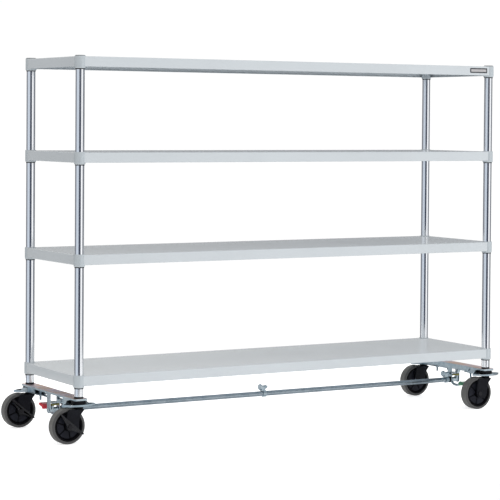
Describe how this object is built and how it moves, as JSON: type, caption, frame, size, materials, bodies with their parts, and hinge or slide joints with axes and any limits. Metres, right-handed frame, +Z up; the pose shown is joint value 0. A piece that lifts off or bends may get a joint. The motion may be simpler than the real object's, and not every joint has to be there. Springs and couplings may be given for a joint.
{
  "type": "rolling steel rack",
  "caption": "Rolling steel rack: folded sheet shelves on plated posts, end beams with swivel casters and a pedal-worked central brake shaft.",
  "frame": {"origin": "on the floor, midway between the outer ends of the whole rack, trailing wheels and brake rings included", "axes": "+Z up, +X along the shelves towards the end with the release pedal, +Y from the front to the rear"},
  "size_m": [1.9376, 0.4842, 1.3468],
  "materials": {
    "light_grey_paint": "smooth powder coat",
    "bright_plating": "bright drawn tube",
    "zinc_plating": "bluish zinc plating",
    "black_steel": "satin black coated steel",
    "black_nylon": "moulded satin",
    "wheel_nylon": "moulded satin",
    "grey_rubber": "matt grey tread",
    "black_rubber": "matt",
    "red_plastic": "moulded gloss",
    "green_plastic": "moulded gloss"
  },
  "bodies": {
    "rack": {"shelf_bottom": "light_grey_paint", "shelf_lower_middle": "light_grey_paint", "shelf_upper_middle": "light_grey_paint", "shelf_top": "light_grey_paint", "end_beam_left": "zinc_plating", "post_front_left": "bright_plating", "post_cap_front_left": "black_nylon", "post_foot_front_left": "black_rubber", "caster_head_front_left": "black_nylon", "lever_bolt_front_left": "zinc_plating", "post_rear_left": "bright_plating", "post_cap_rear_left": "black_nylon", "post_foot_rear_left": "black_rubber", "caster_head_rear_left": "black_nylon", "lever_bolt_rear_left": "zinc_plating", "end_beam_right": "zinc_plating", "post_front_right": "bright_plating", "post_cap_front_right": "black_nylon", "post_foot_front_right": "black_rubber", "caster_head_front_right": "black_nylon", "lever_bolt_front_right": "zinc_plating", "post_rear_right": "bright_plating", "post_cap_rear_right": "black_nylon", "post_foot_rear_right": "black_rubber", "caster_head_rear_right": "black_nylon", "lever_bolt_rear_right": "zinc_plating"},
    "brake_shaft": {"tube_coupling_middle": "zinc_plating", "brake_tube_left": "zinc_plating", "crank_shaft_left": "zinc_plating", "tube_coupling_left": "zinc_plating", "pedal_bar_left": "zinc_plating", "brake_tube_right": "zinc_plating", "crank_shaft_right": "zinc_plating", "tube_coupling_right": "zinc_plating", "pedal_bar_right": "zinc_plating", "pedal_pad_lock": "red_plastic", "pedal_pad_release": "green_plastic"},
    "caster_front_left": {"caster_fork_front_left": "black_nylon", "wheel_axle_front_left": "black_steel"},
    "wheel_front_left": {"wheel_rim_front_left": "wheel_nylon", "wheel_tyre_front_left": "grey_rubber"},
    "wheel_brake_lever_front_left": {"wheel_lever_front_left": "black_nylon"},
    "ring_lever_body_front_left": {"ring_lever_front_left": "zinc_plating"},
    "caster_rear_left": {"caster_fork_rear_left": "black_nylon", "wheel_axle_rear_left": "black_steel"},
    "wheel_rear_left": {"wheel_rim_rear_left": "wheel_nylon", "wheel_tyre_rear_left": "grey_rubber"},
    "wheel_brake_lever_rear_left": {"wheel_lever_rear_left": "black_nylon"},
    "ring_lever_body_rear_left": {"ring_lever_rear_left": "zinc_plating"},
    "caster_front_right": {"caster_fork_front_right": "black_nylon", "wheel_axle_front_right": "black_steel"},
    "wheel_front_right": {"wheel_rim_front_right": "wheel_nylon", "wheel_tyre_front_right": "grey_rubber"},
    "ring_lever_body_front_right": {"ring_lever_front_right": "zinc_plating"},
    "caster_rear_right": {"caster_fork_rear_right": "black_nylon", "wheel_axle_rear_right": "black_steel"},
    "wheel_rear_right": {"wheel_rim_rear_right": "wheel_nylon", "wheel_tyre_rear_right": "grey_rubber"},
    "ring_lever_body_rear_right": {"ring_lever_rear_right": "zinc_plating"}
  },
  "joints": [
    {"name": "brake_shaft_turn", "type": "hinge", "parent": "rack", "child": "brake_shaft", "pos_m": [0.02175, 0, 0.089], "axis": [-1, 0, 0], "range_deg": [0, 26]},
    {"name": "caster_swivel_front_left", "type": "hinge", "parent": "rack", "child": "caster_front_left", "pos_m": [-0.86125, -0.208, 0.125], "axis": [0, 0, 1], "continuous": true},
    {"name": "wheel_roll_front_left", "type": "hinge", "parent": "caster_front_left", "child": "wheel_front_left", "pos_m": [-0.90625, -0.208, 0.0625], "axis": [0, 1, 0], "continuous": true},
    {"name": "wheel_lever_rock_front_left", "type": "hinge", "parent": "caster_front_left", "child": "wheel_brake_lever_front_left", "pos_m": [-0.90625, -0.208, 0.0625], "axis": [0, -1, 0], "range_deg": [0, 20]},
    {"name": "ring_lever_rock_front_left", "type": "hinge", "parent": "rack", "child": "ring_lever_body_front_left", "pos_m": [-0.86125, -0.11232, 0.1298], "axis": [1, 0, 0], "range_deg": [0, 1.9]},
    {"name": "caster_swivel_rear_left", "type": "hinge", "parent": "rack", "child": "caster_rear_left", "pos_m": [-0.86125, 0.208, 0.125], "axis": [0, 0, 1], "continuous": true},
    {"name": "wheel_roll_rear_left", "type": "hinge", "parent": "caster_rear_left", "child": "wheel_rear_left", "pos_m": [-0.90625, 0.208, 0.0625], "axis": [0, 1, 0], "continuous": true},
    {"name": "wheel_lever_rock_rear_left", "type": "hinge", "parent": "caster_rear_left", "child": "wheel_brake_lever_rear_left", "pos_m": [-0.90625, 0.208, 0.0625], "axis": [0, -1, 0], "range_deg": [0, 20]},
    {"name": "ring_lever_rock_rear_left", "type": "hinge", "parent": "rack", "child": "ring_lever_body_rear_left", "pos_m": [-0.86125, 0.11232, 0.1298], "axis": [-1, 0, 0], "range_deg": [0, 1.9]},
    {"name": "caster_swivel_front_right", "type": "hinge", "parent": "rack", "child": "caster_front_right", "pos_m": [0.90475, -0.208, 0.125], "axis": [0, 0, 1], "continuous": true},
    {"name": "wheel_roll_front_right", "type": "hinge", "parent": "caster_front_right", "child": "wheel_front_right", "pos_m": [0.85975, -0.208, 0.0625], "axis": [0, 1, 0], "continuous": true},
    {"name": "ring_lever_rock_front_right", "type": "hinge", "parent": "rack", "child": "ring_lever_body_front_right", "pos_m": [0.90475, -0.11232, 0.1298], "axis": [1, 0, 0], "range_deg": [0, 1.9]},
    {"name": "caster_swivel_rear_right", "type": "hinge", "parent": "rack", "child": "caster_rear_right", "pos_m": [0.90475, 0.208, 0.125], "axis": [0, 0, 1], "continuous": true},
    {"name": "wheel_roll_rear_right", "type": "hinge", "parent": "caster_rear_right", "child": "wheel_rear_right", "pos_m": [0.85975, 0.208, 0.0625], "axis": [0, 1, 0], "continuous": true},
    {"name": "ring_lever_rock_rear_right", "type": "hinge", "parent": "rack", "child": "ring_lever_body_rear_right", "pos_m": [0.90475, 0.11232, 0.1298], "axis": [-1, 0, 0], "range_deg": [0, 1.9]}
  ],
  "couplings": [
    {"joint": "ring_lever_rock_front_left", "follows": "brake_shaft_turn", "ratio": 0.0692},
    {"joint": "ring_lever_rock_rear_left", "follows": "brake_shaft_turn", "ratio": 0.0692},
    {"joint": "ring_lever_rock_front_right", "follows": "brake_shaft_turn", "ratio": 0.0692},
    {"joint": "ring_lever_rock_rear_right", "follows": "brake_shaft_turn", "ratio": 0.0692}
  ]
}
